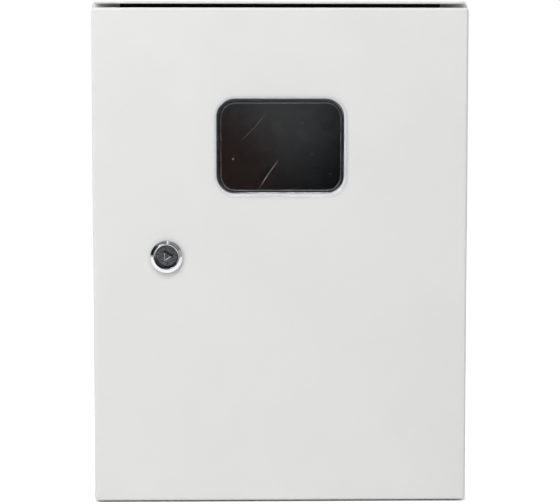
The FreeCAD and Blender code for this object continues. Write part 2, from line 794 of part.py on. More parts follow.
def mounting_plate():
    """Plate for the meter, the rail and the bars."""
    body = new_part("mounting_plate")
    outline = new_sketch(body, FRONT, "plate_back")
    rounded(outline, "-plate_side", "plate_side", "-plate_top", "plate_top", "plate_corner")
    pad(body, outline, "plate_sheet")
    stud_spots = four("plate_stud_side", "plate_stud_up")
    holes(body, "plate_front", "plate_sheet", stud_spots, "m8_radius + hole_fit")
    meter_spots = [("0", "meter_up")]
    meter_spots += [(f"{sign}meter_spread / 2", "meter_up - meter_span") for sign in SIDES]
    holes(body, "plate_front", "plate_sheet", meter_spots, "meter_hole_radius")
    holes(body, "plate_front", "plate_sheet", rail_spots(), "m5_radius + hole_fit")
    for sign in SIDES:
        holes(body, "plate_front", "plate_sheet", bar_fixing_spots(sign), "m4_radius + thread_fit")


def plate_fixings():
    """Washers and nuts on the plate's studs."""
    spots = four("plate_stud_side", "plate_stud_up")
    washers("plate_washers", "plate_front", "m8_radius", "plate_washer_thick", spots)
    nuts("plate_nuts", "plate_front + plate_washer_thick", "m8_radius", spots)


def rail_steps():
    """Whole slots that fit on each side of the rail's middle."""
    return int(value("(rail_side - rail_slot_length / 2 - rail_sheet) / rail_slot_pitch"))


def rail_spots():
    """Screws of the rail, in its last slots."""
    return [(f"{sign}{rail_steps()} * rail_slot_pitch", "rail_up") for sign in SIDES]


def top_hat_rail():
    """Rail of top hat section with a row of slots."""
    body = new_part("din_rail", depth="plate_front", up="rail_up")
    section = new_sketch(body, SIDE, "-rail_side")
    half = []
    for sign in ("", "-"):
        side = [
            ("0", f"{sign}rail_channel / 2"),
            ("rail_sheet - rail_rise", f"{sign}rail_channel / 2"),
            ("rail_sheet - rail_rise", f"{sign}rail_width / 2"),
            ("-rail_rise", f"{sign}rail_width / 2"),
            ("-rail_rise", f"{sign}(rail_channel / 2 - rail_sheet)"),
            ("-rail_sheet", f"{sign}(rail_channel / 2 - rail_sheet)"),
        ]
        half.append(side)
    polygon(section, half[0] + half[1][::-1])
    pad(body, section, "2 * rail_side")
    slots = new_sketch(body, FRONT, "rail_sheet")
    for step in range(-rail_steps(), rail_steps() + 1):
        middle = f"{step} * rail_slot_pitch"
        rounded(slots, f"{middle} - rail_slot_length / 2", f"{middle} + rail_slot_length / 2",
                "-rail_slot_width / 2", "rail_slot_width / 2", "rail_slot_width * 0.45")
    pocket(body, slots, "rail_sheet")


def rail_fixings():
    """Screws through rail and plate, and their nuts."""
    length = "rail_sheet + plate_sheet + 2 * m5_radius"
    pan_screws("rail_screws", "plate_front + rail_sheet", "m5_radius", length, rail_spots())
    nuts("rail_nuts", f"plate_back - {NUT_HEIGHT} * m5_radius", "m5_radius", rail_spots())


def bar_fixing_spots(sign):
    """Two fixing screws of one bar."""
    return [(f"{sign}bar_place {end} bar_hold", "bar_up") for end in SIDES]


def terminal_spots(sign):
    """As many terminals as the bar takes between its fixing screws."""
    gaps = int(value("2 * (bar_hold - terminal_land) / terminal_pitch") + 0.001)
    return [(f"{sign}bar_place + {step - gaps / 2} * terminal_pitch", "bar_up") for step in range(gaps + 1)]


def terminal_bar(word, sign):
    """Brass bar on two feet, with its terminal screws and fixing screws."""
    feet = new_part(f"{word}_feet")
    blocks = new_sketch(feet, FRONT, "plate_front")
    for across, up in bar_fixing_spots(sign):
        rectangle(blocks, f"{across} - bar_foot_width / 2", f"{across} + bar_foot_width / 2",
                  "bar_up - bar_section / 2", "bar_up + bar_section / 2")
    pad(feet, blocks, "bar_foot_rise")
    holes(feet, "bar_back", "bar_foot_rise", bar_fixing_spots(sign), "m4_radius + hole_fit")
    bar = new_part(f"{word}_bar")
    outline = new_sketch(bar, FRONT, "bar_back")
    rectangle(outline, f"{sign}bar_place - bar_half", f"{sign}bar_place + bar_half",
              "bar_up - bar_section / 2", "bar_up + bar_section / 2")
    pad(bar, outline, "bar_section")
    holes(bar, "bar_front", "bar_section", bar_fixing_spots(sign), "m4_radius + hole_fit")
    wires = new_sketch(bar, TOP, "bar_up + bar_section / 2")
    for across, up in terminal_spots(sign):
        circle(wires, across, "-bar_back - bar_section / 2", "wire_hole_radius")
    pocket(bar, wires, "bar_section")
    holes(bar, "bar_front", "bar_section / 2", terminal_spots(sign), "m4_radius + thread_fit")
    pan_screws(f"{word}_terminal_screws", "bar_front", "m4_radius", "bar_section / 2 - m4_radius / 2",
               terminal_spots(sign))
    pan_screws(f"{word}_fixing_screws", "bar_front", "m4_radius",
               "bar_section + bar_foot_rise + plate_sheet + m4_radius", bar_fixing_spots(sign))


def gland_stud_spots():
    """Corners of the gland plate as seen from above."""
    return [(f"{one}gland_stud_side", f"{other}gland_stud_deep - gland_place")
            for one in SIDES for other in SIDES]


def gland_blank(body, low):
    """Outline of the gland plate and its seal, with their stud holes."""
    outline = new_sketch(body, TOP, low)
    rectangle(outline, "-gland_half_width", "gland_half_width", "-gland_place - gland_half_depth",
              "gland_half_depth - gland_place")
    for across, deep in gland_stud_spots():
        circle(outline, across, deep, "m4_radius + hole_fit")
    return outline


def gland_seal():
    """Flat rubber frame under the gland plate."""
    body = new_part("gland_seal")
    outline = gland_blank(body, "floor")
    rectangle(outline, "-gland_open_width / 2", "gland_open_width / 2",
              "-gland_place - gland_open_depth / 2", "gland_open_depth / 2 - gland_place")
    pad(body, outline, "gland_seal")


def gland_plate():
    """Pressed tray over the opening, raised so that the grommets stay above the case's underside."""
    body = new_part("gland_plate")
    pad(body, gland_blank(body, "gland_low"), "gland_sheet")
    for growth, rise, cut in (("0", "gland_rise + gland_sheet", False), ("gland_sheet", "gland_rise", True)):
        wide = f"tray_half_wide - {growth}"
        deep = f"tray_half_deep - {growth}"
        tray = new_sketch(body, TOP, "gland_low")
        rounded(tray, f"-({wide})", wide, f"-gland_place - ({deep})", f"{deep} - gland_place",
                f"(3 * gland_sheet - {growth})")
        if cut:
            pocket(body, tray, rise, forward=True)
        else:
            pad(body, tray, rise)
    openings = new_sketch(body, TOP, "gland_low + gland_rise + gland_sheet")
    for step in (-1, 0, 1):
        circle(openings, f"{step} * grommet_pitch", "-gland_place", "grommet_hole_radius")
    pocket(body, openings, "gland_sheet")


def grommet(label, step):
    """Rubber grommet with a closed skin, sprung into the gland plate."""
    body = new_part(label, f"{step} * grommet_pitch", "gland_place", "gland_low + gland_rise")
    neck = "grommet_hole_radius - thread_fit"
    skin = "grommet_hole_radius - 2 * grommet_lip"
    skin_low = "gland_sheet / 2 - grommet_skin / 2"
    skin_high = "gland_sheet / 2 + grommet_skin / 2"
    revolve(body, [
        ("0", skin_low),
        (skin, skin_low),
        ("grommet_hole_radius - grommet_lip", "-grommet_lip"),
        ("grommet_edge - grommet_lip / 2", "-grommet_lip"),
        ("grommet_edge", "0"),
        (neck, "0"),
        (neck, "gland_sheet"),
        ("grommet_edge", "gland_sheet"),
        ("grommet_edge - grommet_lip / 2", "gland_sheet + grommet_lip"),
        ("grommet_hole_radius - grommet_lip", "gland_sheet + grommet_lip"),
        (skin, skin_high),
        ("0", skin_high),
    ])


def gland_fixings():
    """Studs welded to the case's floor and the nuts on them."""
    studs = new_part("gland_studs")
    rods = new_sketch(studs, TOP, "floor")
    caps = new_part("gland_nuts")
    rings = new_sketch(caps, TOP, "gland_low + gland_sheet")
    for across, deep in gland_stud_spots():
        circle(rods, across, deep, "m4_radius")
        hexagon(rings, across, deep, f"{NUT_FLATS} * m4_radius")
        circle(rings, across, deep, "m4_radius + thread_fit")
    pad(studs, rods, f"gland_seal + gland_sheet + {STUD_END} * m4_radius")
    pad(caps, rings, f"{NUT_HEIGHT} * m4_radius")


def earth_points():
    """Earth studs of the case and of the door, each with a washer and a nut."""
    case_spot = [("earth_inset - side", "earth_lift - top")]
    stud = new_part("case_earth_stud")
    pillars(stud, "case_sheet", "earth_stud_length", case_spot, "m6_radius")
    washers("case_earth_washer", "case_sheet", "m6_radius", "small_washer_thick", case_spot)
    nuts("case_earth_nut", "case_sheet + small_washer_thick", "m6_radius", case_spot)
    door_spot = [("side - door_earth_inset", "door_earth_lift - top")]
    stud = new_part("door_earth_stud")
    pillars(stud, "door_inner - earth_stud_length", "earth_stud_length", door_spot, "m6_radius")
    seat = "door_inner - small_washer_thick"
    washers("door_earth_washer", seat, "m6_radius", "small_washer_thick", door_spot)
    nuts("door_earth_nut", f"{seat} - {NUT_HEIGHT} * m6_radius", "m6_radius", door_spot)


def write_parts():
    """Check every object and write one file for each sub-part."""
    doc.recompute()
    for item in doc.Objects:
        if "Invalid" in item.State or "Error" in item.State:
            raise RuntimeError(f"{item.Label} failed: {item.State}")
    os.makedirs("parts", exist_ok=True)
    for body in parts:
        shape = body.Shape
        if shape.isNull() or not shape.isValid() or not shape.Solids:
            raise RuntimeError(f"{body.Label} has no sound shape")
        shape.exportStep(os.path.join("parts", f"{body.Label}.step"))


case_shell()
hood_seal()
door_panel()
door_gasket()
window_pane()
lock_housing()
lock_fixings()
lock_spindle()
lock_cam()
cam_fixings()
hinges()
plate_studs()
mounting_plate()
plate_fixings()
top_hat_rail()
rail_fixings()
terminal_bar("neutral", "-")
terminal_bar("earth", "+")
gland_seal()
gland_plate()
for number, step in enumerate((-1, 0, 1), start=1):
    grommet(f"grommet_{number}", step)
gland_fixings()
earth_points()
write_parts()
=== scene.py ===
import math
import random

import bmesh
import bpy
from mathutils import Matrix, Vector


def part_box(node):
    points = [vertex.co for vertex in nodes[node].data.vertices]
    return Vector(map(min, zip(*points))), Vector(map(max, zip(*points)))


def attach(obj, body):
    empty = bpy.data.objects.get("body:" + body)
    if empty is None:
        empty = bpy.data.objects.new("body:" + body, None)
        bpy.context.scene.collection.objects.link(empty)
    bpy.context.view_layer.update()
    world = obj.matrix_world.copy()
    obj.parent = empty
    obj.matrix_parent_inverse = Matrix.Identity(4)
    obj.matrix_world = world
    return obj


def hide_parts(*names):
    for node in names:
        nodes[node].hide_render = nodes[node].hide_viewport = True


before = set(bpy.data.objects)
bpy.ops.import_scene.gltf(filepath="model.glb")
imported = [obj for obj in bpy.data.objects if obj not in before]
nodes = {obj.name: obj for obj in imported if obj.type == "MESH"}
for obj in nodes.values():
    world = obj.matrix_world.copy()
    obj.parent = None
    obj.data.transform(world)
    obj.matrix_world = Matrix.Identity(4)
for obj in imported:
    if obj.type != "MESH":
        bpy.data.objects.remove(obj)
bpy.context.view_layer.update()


# Case. The wall box itself: one steel sheet folded and welded into a tray, with a frame round its mouth,
# a sealing lip and a rain hood over the door. It is powder coated inside and out.
MM = 0.001


def linear(hex_colour):
    """Turn an sRGB hex value into the linear colour that a shader takes."""
    channels = [int(hex_colour[i:i + 2], 16) / 255 for i in (1, 3, 5)]
    return (*[c / 12.92 if c <= 0.04045 else ((c + 0.055) / 1.055) ** 2.4 for c in channels], 1.0)


def new_material(name, hex_colour, **sockets):
    """Start a material as one Principled shader with its plain values set on it."""
    material = bpy.data.materials.new(name)
    material.use_nodes = True
    shader = material.node_tree.nodes["Principled BSDF"]
    shader.inputs["Base Color"].default_value = linear(hex_colour)
    for socket, amount in sockets.items():
        shader.inputs[socket.replace("_", " ")].default_value = amount
    return material


def add(material, kind, inputs=None, outputs=None, **settings):
    """Add one node to a material, with its settings, its sockets and where its results go."""
    tree = material.node_tree
    node = tree.nodes.new("ShaderNode" + kind)
    for name, setting in settings.items():
        setattr(node, name, setting)
    for socket, given in (inputs or {}).items():
        if isinstance(given, bpy.types.NodeSocket):
            tree.links.new(given, node.inputs[socket])
        else:
            node.inputs[socket].default_value = given
    for socket, target in (outputs or {}).items():
        tree.links.new(node.outputs[socket], target)
    return node


def per_mm(size):
    """Texture scale at which one feature is this many millimetres wide."""
    return 1 / (size * MM)


def mottle(material, size, stretch=(1, 1, 1), detail=2.0):
    """Cloudy pattern fixed to the piece, its patches this many millimetres wide."""
    place = add(material, "TexCoord")
    run = add(material, "Mapping", {"Vector": place.outputs["Object"], "Scale": stretch})
    return add(material, "TexNoise",
               {"Vector": run.outputs["Vector"], "Scale": per_mm(size), "Detail": detail})


def tint(material, pattern, first, second, low=0.35, high=0.65):
    """Colour the shader from one hex value to another along a pattern."""
    shader = material.node_tree.nodes["Principled BSDF"]
    blend = add(material, "ValToRGB", {"Fac": pattern}, {"Color": shader.inputs["Base Color"]})
    blend.color_ramp.elements[0].position = low
    blend.color_ramp.elements[0].color = linear(first)
    blend.color_ramp.elements[1].position = high
    blend.color_ramp.elements[1].color = linear(second)


def vary_gloss(material, pattern, low, high):
    """Let the roughness run between two values along a pattern."""
    shader = material.node_tree.nodes["Principled BSDF"]
    add(material, "MapRange",
        {"Value": pattern, "From Min": 0.3, "From Max": 0.7, "To Min": low, "To Max": high},
        {"Result": shader.inputs["Roughness"]})


def relief(material, pattern, depth, strength=1.0):
    """Raise the surface along a pattern, to a depth in millimetres."""
    shader = material.node_tree.nodes["Principled BSDF"]
    add(material, "Bump", {"Height": pattern, "Distance": depth * MM, "Strength": strength},
        {"Normal": shader.inputs["Normal"]})


def powder_coat(name, first, second):
    """Polyester powder, sprayed and baked: a satin skin with fine orange peel and faint clouds."""
    material = new_material(name, first, Roughness=0.42, IOR=1.5)
    clouds = mottle(material, 60)
    tint(material, clouds.outputs["Fac"], first, second)
    peel = mottle(material, 2.6)
    vary_gloss(material, peel.outputs["Fac"], 0.38, 0.46)
    relief(material, peel.outputs["Fac"], 0.02, 0.5)
    return material


def dress(material, *names):
    """Give CAD nodes their finish."""
    for name in names:
        nodes[name].material_slots[0].material = material


case_coat = powder_coat("case_powder_coat", "#E3E3E2", "#E6E6E4")
dress(case_coat, "body_shell")


# Gland plate. A pressed tray that closes the cable opening in the floor, with a flat rubber seal under it,
# welded studs with nuts, and three soft grommets that the cables are pushed through.
dress(case_coat, "gland_plate")


def new_piece(name, mesh, material, body, slot, *replaced, sharp=35):
    """Put a finished mesh into the scene as a piece that rides on a body, sharp above an angle in degrees."""
    piece = bpy.data.objects.new(name, mesh)
    bpy.context.scene.collection.objects.link(piece)
    mesh.materials.append(material)
    mesh.shade_smooth()
    mesh.set_sharp_from_angle(angle=math.radians(sharp))
    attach(piece, body)
    if replaced:
        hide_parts(*replaced)


def regular(radius, count):
    """Corners of a regular outline, the first one to the right."""
    turns = [2 * math.pi * step / count for step in range(count)]
    return [(radius * math.cos(turn), radius * math.sin(turn)) for turn in turns]


def ring_at(outline, depth):
    """Stand an outline up to face the front, at a depth."""
    return [(across, depth, up) for across, up in outline]


def loft(rings, tube=False):
    """Skin between rings of points, closed by a flat face at each end or, for a tube, back to the first."""
    shape = bmesh.new()
    rows = [[shape.verts.new(point) for point in ring] for ring in rings]
    for low, high in zip(rows, rows[1:] + rows[:tube]):
        for index in range(len(low)):
            following = (index + 1) % len(low)
            shape.faces.new((low[index], low[following], high[following], high[index]))
    if not tube:
        shape.faces.new(rows[0][::-1])
        shape.faces.new(rows[-1])
    bmesh.ops.recalc_face_normals(shape, faces=shape.faces)
    return shape


def as_mesh(shape, name, place=(0, 0, 0)):
    """Turn a shape drawn in millimetres into a mesh in metres at its place."""
    shape.transform(Matrix.Translation(place) @ Matrix.Scale(MM, 4))
    mesh = bpy.data.meshes.new(name)
    shape.to_mesh(mesh)
    shape.free()
    return mesh


def loose_solids(name):
    """Boxes of a CAD node's separate solids: lowest and highest corner of each, in millimetres."""
    shape = bmesh.new()
    shape.from_mesh(nodes[name].data)
    shape.transform(nodes[name].matrix_world)
    bmesh.ops.remove_doubles(shape, verts=shape.verts, dist=0.001 * MM)
    left = set(shape.verts)
    boxes = []
    while left:
        island = [left.pop()]
        for corner in island:
            fresh = {edge.other_vert(corner) for edge in corner.link_edges} & left
            left -= fresh
            island.extend(fresh)
        places = [[corner.co[axis] / MM for corner in island] for axis in range(3)]
        boxes.append((Vector([min(row) for row in places]), Vector([max(row) for row in places])))
    shape.free()
    return sorted(boxes, key=lambda box: (round(box[0].z, 1), round(box[0].x, 1)))


def put_in(whole, shape):
    """Move one drawn shape into another."""
    carrier = bpy.data.meshes.new("carrier")
    shape.to_mesh(carrier)
    shape.free()
    whole.from_mesh(carrier)
    bpy.data.meshes.remove(carrier)


def at_solids(name, draw, upright=False):
    """Mesh with a fastener drawn at each solid of a CAD node; upright ones are drawn lying and stood up."""
    stand = Matrix(((1, 0, 0, 0), (0, 0, 1, 0), (0, 1, 0, 0), (0, 0, 0, 1))) if upright else Matrix()
    whole = bmesh.new()
    for low, high in loose_solids(name):
        low, high = stand @ low, stand @ high
        shape = draw(low.y, high.y, (high.x - low.x) / 2)
        shape.transform(stand @ Matrix.Translation(((low.x + high.x) / 2, 0, (low.z + high.z) / 2)))
        bmesh.ops.recalc_face_normals(shape, faces=shape.faces)
        put_in(whole, shape)
    return as_mesh(whole, name)


def thread(radius, start, stop, count=32):
    """Rings down a screw thread, whose grooves climb one pitch a turn and run out at both ends."""
    coarsest = 1.5
    pitch = min(0.32 * radius, coarsest)
    rows = math.ceil(abs(stop - start) / pitch * 6)
    rings = []
    for row in range(rows + 1):
        depth = start + (stop - start) * row / rows
        groove = 0.3 * pitch * min(1, row / 3, (rows - row) / 3)
        ring = []
        for across, up in regular(1, count):
            turn = math.atan2(up, across)
            reach = radius - groove * (1 - math.cos(2 * math.pi * depth / pitch - turn))
            ring.append((reach * across, depth, reach * up))
        rings.append(ring)
    return rings


def hexagon_rings(corner, low, high):
    """Rings of a hexagon head or nut, its corners trimmed by a 30 degree cone at both ends."""
    trim = 0.17 * corner * math.tan(math.radians(30))
    levels = [trim * step / 4 for step in range(5)]
    rings = []
    for depth in [low + level for level in levels] + [high - level for level in levels[::-1]]:
        cone = 0.83 * corner + min(depth - low, high - depth) / math.tan(math.radians(30))
        ring = []
        for across, up in regular(1, 72):
            side = math.atan2(up, across) % math.radians(60) - math.radians(30)
            reach = min(cone, corner * math.cos(math.radians(30)) / math.cos(side))
            ring.append((reach * across, depth, reach * up))
        rings.append(ring)
    return rings


def nut(low, high, corner, bore=None):
    """Hexagon nut with a chamfered bore."""
    bore = bore or corner * 2 * math.cos(math.radians(30)) / 3.3 + 0.05
    lead = 0.12 * bore if bore < 6 else 0.4
    inside = [ring_at(regular(bore + out, 72), depth)
              for out, depth in ((lead, high), (0, high - lead), (0, low + lead), (lead, low))]
    return loft(hexagon_rings(corner, low, high) + inside, tube=True)


def stud(low, high, radius):
    """Threaded stud with chamfered ends."""
    lead = 0.3 * radius
    ends = [ring_at(regular(radius - lead, 32), depth) for depth in (low, high)]
    return loft([ends[0]] + thread(radius, low + lead, high - lead) + [ends[1]])


black_rubber = new_material("moulded_black_rubber", "#1C1C1D", Roughness=0.7, IOR=1.52)
rubber_grain = mottle(black_rubber, 0.8)
vary_gloss(black_rubber, rubber_grain.outputs["Fac"], 0.62, 0.8)
relief(black_rubber, rubber_grain.outputs["Fac"], 0.03)
dress(black_rubber, "gland_seal")

grommet_rubber = new_material("moulded_grey_rubber", "#8E9194", Roughness=0.55, IOR=1.5)
grommet_grain = mottle(grommet_rubber, 1.2)
tint(grommet_rubber, grommet_grain.outputs["Fac"], "#87898C", "#939699")
relief(grommet_rubber, grommet_grain.outputs["Fac"], 0.02)
dress(grommet_rubber, "grommet_1", "grommet_2", "grommet_3")

# Zinc plating on steel: bright, a little blue, with a fine grain from the barrel it is plated in.
zinc_plate = new_material("barrel_zinc_plate", "#C9CDD1", Metallic=1.0, Roughness=0.3)
zinc_grain = mottle(zinc_plate, 1.5)
tint(zinc_plate, zinc_grain.outputs["Fac"], "#BFC4C9", "#D0D3D6")
vary_gloss(zinc_plate, zinc_grain.outputs["Fac"], 0.24, 0.38)
thread_edge = 50


def plated(name, node, draw, body="case", upright=False, sharp=35):
    """Zinc plated fasteners in place of one CAD node, each drawn where its solid is."""
    mesh = at_solids(node, draw, upright)
    new_piece(name, mesh, zinc_plate, body, "zinc_steel", node, sharp=sharp)


plated("threaded_gland_studs", "gland_studs", stud, upright=True, sharp=thread_edge)
plated("chamfered_gland_nuts", "gland_nuts", nut, upright=True)


# Mounting plate. A flat plate of galvanised sheet on four welded studs, held by washers and nuts,
# with one hole high up and two lower down that hang the meter.
# Its colour, and the spangle's, is darkened far below bare galvanised steel: painted shade for the dark
# inside of the closed box.
shade_darkened_galvanised_sheet = new_material("galvanised_sheet_painted_shade", "#56595B", Metallic=1.0, Roughness=0.52)
spangle_place = add(shade_darkened_galvanised_sheet, "TexCoord")
spangle = add(shade_darkened_galvanised_sheet, "TexVoronoi",
              {"Vector": spangle_place.outputs["Object"], "Scale": per_mm(11)})
spangle_tone = add(shade_darkened_galvanised_sheet, "SeparateColor", {"Color": spangle.outputs["Color"]})
tint(shade_darkened_galvanised_sheet, spangle_tone.outputs["Red"], "#535658", "#5A5D5F", 0.0, 1.0)
vary_gloss(shade_darkened_galvanised_sheet, spangle_tone.outputs["Green"], 0.5, 0.54)
dress(shade_darkened_galvanised_sheet, "mounting_plate")


def collar_stud(low, high, radius):
    """Welded stud: a plain collar that carries the plate and a thread in front of it."""
    collar_length = 12
    thread_radius = 4
    tip_radius = 2.8
    edge = 0.4
    shoulder = high - collar_length
    collar = [ring_at(regular(radius - cut, 32), depth)
              for cut, depth in ((0, high), (0, shoulder + edge), (edge, shoulder),
                                 (radius - thread_radius, shoulder))]
    tip = ring_at(regular(tip_radius, 32), low)
    return loft(collar + thread(thread_radius, shoulder - 0.2, low + 1.2) + [tip])


dress(zinc_plate, "plate_washers")
plated("threaded_plate_studs", "plate_studs", collar_stud, sharp=thread_edge)
plated("chamfered_plate_nuts", "plate_nuts", nut)


# Device rail. A top hat rail rolled from steel strip, slotted at a pitch and passivated yellow,
# screwed across the lower part of the plate for breakers and relays.
yellow_zinc = new_material("yellow_passivated_zinc", "#CDBB86", Metallic=1.0, Roughness=0.32)
passivate = mottle(yellow_zinc, 24)
tint(yellow_zinc, passivate.outputs["Fac"], "#D3BE84", "#C5AE98", 0.4, 0.7)
rolled = mottle(yellow_zinc, 0.7, stretch=(0.05, 1, 1))
vary_gloss(yellow_zinc, rolled.outputs["Fac"], 0.26, 0.4)
dress(yellow_zinc, "din_rail")


def joined(mesh, tool_shape, operation):
    """Cut a tool shape out of a mesh, or weld it on."""
    tool = as_mesh(tool_shape, "tool")
    holders = [bpy.data.objects.new(data.name, data) for data in (mesh, tool)]
    for holder in holders:
        bpy.context.scene.collection.objects.link(holder)
    step = holders[0].modifiers.new("step", "BOOLEAN")
    step.operation = operation
    step.solver = "EXACT"
    step.object = holders[1]
    seen = bpy.context.evaluated_depsgraph_get()
    result = bpy.data.meshes.new_from_object(holders[0].evaluated_get(seen))
    for holder in holders:
        bpy.data.objects.remove(holder)
    return result


def pan_screw(low, high, radius):
    """Screw with a domed head, towards the front, and a threaded shank."""
    size = radius / 1.75
    seat = low + 1.2 * size
    dome = [(0.1, 0), (0.35, 0.02), (0.6, 0.1), (0.82, 0.24), (0.95, 0.42), (1, 0.6)]
    head = [ring_at(regular(share * radius, 32), low + drop * radius) for share, drop in dome]
    head.append(ring_at(regular(radius, 32), seat))
    tip = ring_at(regular(0.7 * size, 32), high)
    return loft(head + thread(size, seat, high - 0.3 * size) + [tip])


def cross_screws(name):
    """Pan head screws at the solids of a CAD node, each with a cross recess left at its own turn."""
    mesh = at_solids(name, pan_screw)
    chance = random.Random(11)
    turns = [chance.uniform(0, math.pi / 2) for _ in loose_solids(name)]
    for quarter in (0, math.pi / 2):
        arms = bmesh.new()
        for (low, high), turn in zip(loose_solids(name), turns):
            radius = (high.x - low.x) / 2
            wide, narrow = [[Vector(corner) @ Matrix.Rotation(turn + quarter, 2) for corner in
                             ((-long, -broad), (long, -broad), (long, broad), (-long, broad))]
                            for long, broad in ((0.62 * radius, 0.15 * radius), (0.3 * radius, 0.1 * radius))]
            arm = loft([ring_at(wide, low.y - 0.1 * radius), ring_at(narrow, low.y + 0.45 * radius)])
            arm.transform(Matrix.Translation(((low.x + high.x) / 2, 0, (low.z + high.z) / 2)))
            put_in(arms, arm)
        mesh = joined(mesh, arms, "DIFFERENCE")
    new_piece("cross_" + name, mesh, zinc_plate, "case", "zinc_steel", name)


cross_screws("rail_screws")
plated("chamfered_rail_nuts", "rail_nuts", nut)


# Terminal bars. Neutral and earth are square brass bars drilled across for the wires, each with a row
# of clamping screws, standing on blue or green moulded feet that are screwed to the plate.
brass = new_material("drawn_brass", "#D6B66C", Metallic=1.0, Roughness=0.3)
drawn = mottle(brass, 0.6, stretch=(0.04, 1, 1))
tint(brass, drawn.outputs["Fac"], "#CBA95E", "#DFC27C")
vary_gloss(brass, drawn.outputs["Fac"], 0.22, 0.36)
dress(brass, "neutral_bar", "earth_bar")

for colour, low, high, feet in (
    ("blue", "#24508F", "#2A5A9C", "neutral_feet"),
    ("green", "#2C7A3F", "#348848", "earth_feet"),
):
    polyamide = new_material(f"{colour}_moulded_polyamide", low, Roughness=0.45, IOR=1.53)
    sparked = mottle(polyamide, 0.9)
    tint(polyamide, sparked.outputs["Fac"], low, high)
    relief(polyamide, sparked.outputs["Fac"], 0.02)
    dress(polyamide, feet)
for bar in ("neutral", "earth"):
    cross_screws(f"{bar}_terminal_screws")
    cross_screws(f"{bar}_fixing_screws")


# Earth points. Copper plated studs welded to the case and to the door, each with its washer and nut,
# bond the sheet metal to the earth bar.
copper_plate = new_material("copper_plated_steel", "#C98A66", Metallic=1.0, Roughness=0.32)
flash = mottle(copper_plate, 1.6)
tint(copper_plate, flash.outputs["Fac"], "#BD7C58", "#D59A77")
vary_gloss(copper_plate, flash.outputs["Fac"], 0.26, 0.42)
for place in ("case", "door"):
    dress(zinc_plate, f"{place}_earth_washer")
    earth_stud = f"{place}_earth_stud"
    new_piece(f"threaded_{earth_stud}", at_solids(earth_stud, stud), copper_plate, place,
              "copper_steel", earth_stud, sharp=thread_edge)
    plated(f"chamfered_{place}_earth_nut", f"{place}_earth_nut", nut, place)


# Hinges. Two hidden hinges: a bent leaf of plated steel screwed to the front of the frame and a bracket
# welded inside the door, joined by a turned steel pin.
turned_steel = new_material("turned_steel", "#A9ABAD", Metallic=1.0, Roughness=0.28)
turning = mottle(turned_steel, 0.5, stretch=(0.2, 0.2, 1))
vary_gloss(turned_steel, turning.outputs["Fac"], 0.2, 0.36)
for end in ("lower", "upper"):
    dress(zinc_plate, f"hinge_leaf_{end}")
    dress(turned_steel, f"hinge_pin_{end}")
    dress(case_coat, f"hinge_bracket_{end}")
cross_screws("hinge_screws")
plated("chamfered_hinge_nuts", "hinge_nuts", nut)


# Door. A pan of steel sheet with four folded edges, coated like the case, and a bead of foam
# poured round its inside to seal on the lip of the case.
door_coat = powder_coat("door_powder_coat", "#E4E4E3", "#E6E6E5")
dress(door_coat, "door_panel")

# Black strip under the hood, near black and with almost no reflection: it stands in for the deep shade in the
# gap above the door, painted shade.
gap_shade_strip = new_material("black_strip_painted_gap_shade", "#08080A", Roughness=0.95, IOR=1.45, Specular_IOR_Level=0.2)
gap_shade_cells = mottle(gap_shade_strip, 0.7, detail=4.0)
tint(gap_shade_strip, gap_shade_cells.outputs["Fac"], "#020203", "#060607")
relief(gap_shade_strip, gap_shade_cells.outputs["Fac"], 0.1)
dress(gap_shade_strip, "hood_seal")

foam = new_material("poured_foam_seal", "#3B3B3D", Roughness=0.9, IOR=1.45)
pores = mottle(foam, 0.9, detail=4.0)
tint(foam, pores.outputs["Fac"], "#2E2E30", "#454547")
relief(foam, pores.outputs["Fac"], 0.15)
dress(foam, "door_gasket")


# Window. One clear polycarbonate moulding pushed into the door from the front: a flat pane with a rounded
# flange that laps the paint, and a skirt behind it that is slit into tongues with snap lugs. It has sunk
# a little into the lower right corner of its cut-out.
polycarbonate = new_material("moulded_polycarbonate", "#FAFCFF",
                             Roughness=0.015, IOR=1.58, Transmission_Weight=1.0)
glass_shader = polycarbonate.node_tree.nodes["Principled BSDF"]
glass_output = polycarbonate.node_tree.nodes["Material Output"]
lamp_ray = add(polycarbonate, "LightPath")
edge_on = add(polycarbonate, "LayerWeight", {"Blend": 0.5})
edge_shade = add(polycarbonate, "ValToRGB", {"Fac": edge_on.outputs["Facing"]})
edge_shade.color_ramp.elements[0].position = 0.46
edge_shade.color_ramp.elements[0].color = linear("#FFFFFF")
edge_shade.color_ramp.elements[1].position = 0.72
edge_shade.color_ramp.elements[1].color = linear("#7C8084")
clear_way = add(polycarbonate, "BsdfTransparent", {"Color": edge_shade.outputs["Color"]})
add(polycarbonate, "MixShader", {
    0: lamp_ray.outputs["Is Shadow Ray"],
    1: glass_shader.outputs["BSDF"],
    2: clear_way.outputs["BSDF"],
}, {"Shader": glass_output.inputs["Surface"]})

window_low, window_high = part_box("window_pane")
window_middle = (window_low + window_high) / 2
door_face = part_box("door_panel")[0].y
window_half = (50.5, 37.5)
window_radius = 14.5
window_lap = 2.0
window_fit = 0.8
skirt_wall = 2.0
pane_front = 2.0


def round_oblong(half, radius, growth, steps=14):
    """Outline of a rectangle with round corners, grown by an amount on every side."""
    radius = radius + growth
    reach = [side + growth - radius for side in half]
    points = []
    for corner, (across, up) in enumerate(((1, 1), (-1, 1), (-1, -1), (1, -1))):
        for step in range(steps + 1):
            turn = math.radians(90 * (corner + step / steps))
            points.append((across * reach[0] + radius * math.cos(turn),
                           up * reach[1] + radius * math.sin(turn)))
    return points


def arc(middle, radius, start, stop, steps=6):
    """Points of an arc between two angles in degrees."""
    turns = [math.radians(start + (stop - start) * step / steps) for step in range(steps + 1)]
    return [(middle[0] + radius * math.cos(turn), middle[1] + radius * math.sin(turn)) for turn in turns]


